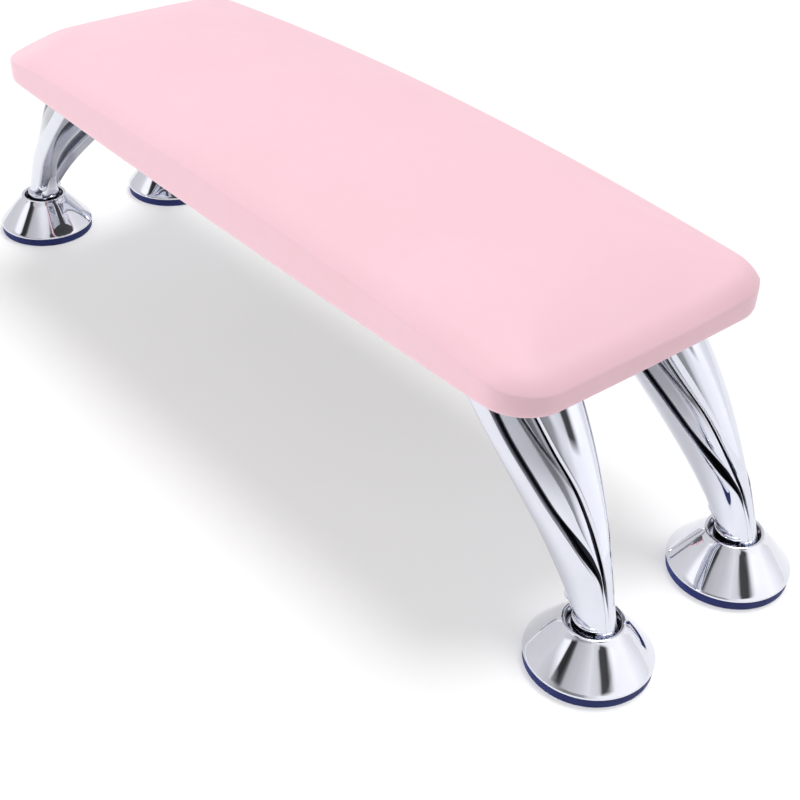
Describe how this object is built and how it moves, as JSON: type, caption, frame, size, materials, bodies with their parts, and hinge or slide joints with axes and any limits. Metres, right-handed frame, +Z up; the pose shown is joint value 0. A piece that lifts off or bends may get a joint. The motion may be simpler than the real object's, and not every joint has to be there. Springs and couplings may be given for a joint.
{
  "type": "manicure hand rest",
  "caption": "Leather-covered padded board with a crowned top on splayed die-cast legs with conical levelling cups and rubber soles.",
  "frame": {"origin": "on the table, midway between the four feet and under the middle of the pad", "axes": "+X along the pad towards its right end, +Y towards its rear long side, +Z up"},
  "size_m": [0.4766, 0.1362, 0.1344],
  "materials": {
    "leather": "smooth matt leatherette",
    "foam": "open-cell foam",
    "plywood": "raw plywood",
    "lining": "black non-woven cloth",
    "staple_steel": "galvanised wire",
    "leg_chrome": "polished chrome on a zinc casting",
    "cup_chrome": "polished chrome",
    "washer_steel": "bright plated steel",
    "screw_steel": "zinc-plated steel",
    "sole_rubber": "dark blue matt rubber"
  },
  "bodies": {
    "pad": {"leather_cover": "leather", "foam_core": "foam", "base_board": "plywood", "bottom_lining": "lining", "cover_staples": "staple_steel", "leg_front_right": "leg_chrome", "leg_rear_right": "leg_chrome", "leg_front_left": "leg_chrome", "leg_rear_left": "leg_chrome", "leg_screws_front_right": "screw_steel", "leg_screws_rear_right": "screw_steel", "leg_screws_front_left": "screw_steel", "leg_screws_rear_left": "screw_steel"},
    "washer_front_right": {"foot_washer_front_right": "washer_steel"},
    "washer_rear_right": {"foot_washer_rear_right": "washer_steel"},
    "washer_front_left": {"foot_washer_front_left": "washer_steel"},
    "washer_rear_left": {"foot_washer_rear_left": "washer_steel"},
    "foot_front_right": {"foot_cup_front_right": "cup_chrome", "foot_stud_front_right": "screw_steel", "foot_sole_front_right": "sole_rubber"},
    "foot_rear_right": {"foot_cup_rear_right": "cup_chrome", "foot_stud_rear_right": "screw_steel", "foot_sole_rear_right": "sole_rubber"},
    "foot_front_left": {"foot_cup_front_left": "cup_chrome", "foot_stud_front_left": "screw_steel", "foot_sole_front_left": "sole_rubber"},
    "foot_rear_left": {"foot_cup_rear_left": "cup_chrome", "foot_stud_rear_left": "screw_steel", "foot_sole_rear_left": "sole_rubber"}
  },
  "joints": [
    {"name": "lift_front_right", "type": "slide", "parent": "pad", "child": "washer_front_right", "axis": [0, 0, -1], "range_m": [0, 0.005]},
    {"name": "turn_front_right", "type": "hinge", "parent": "washer_front_right", "child": "foot_front_right", "pos_m": [0.2132, -0.0412, 0.02], "axis": [0, 0, -1], "range_deg": [0, 1440]},
    {"name": "lift_rear_right", "type": "slide", "parent": "pad", "child": "washer_rear_right", "axis": [0, 0, -1], "range_m": [0, 0.005]},
    {"name": "turn_rear_right", "type": "hinge", "parent": "washer_rear_right", "child": "foot_rear_right", "pos_m": [0.2132, 0.0412, 0.02], "axis": [0, 0, -1], "range_deg": [0, 1440]},
    {"name": "lift_front_left", "type": "slide", "parent": "pad", "child": "washer_front_left", "axis": [0, 0, -1], "range_m": [0, 0.005]},
    {"name": "turn_front_left", "type": "hinge", "parent": "washer_front_left", "child": "foot_front_left", "pos_m": [-0.2132, -0.0412, 0.02], "axis": [0, 0, -1], "range_deg": [0, 1440]},
    {"name": "lift_rear_left", "type": "slide", "parent": "pad", "child": "washer_rear_left", "axis": [0, 0, -1], "range_m": [0, 0.005]},
    {"name": "turn_rear_left", "type": "hinge", "parent": "washer_rear_left", "child": "foot_rear_left", "pos_m": [-0.2132, 0.0412, 0.02], "axis": [0, 0, -1], "range_deg": [0, 1440]}
  ],
  "couplings": [
    {"joint": "turn_front_right", "follows": "lift_front_right", "rad_per_m": 5026.5},
    {"joint": "turn_rear_right", "follows": "lift_rear_right", "rad_per_m": 5026.5},
    {"joint": "turn_front_left", "follows": "lift_front_left", "rad_per_m": 5026.5},
    {"joint": "turn_rear_left", "follows": "lift_rear_left", "rad_per_m": 5026.5}
  ]
}
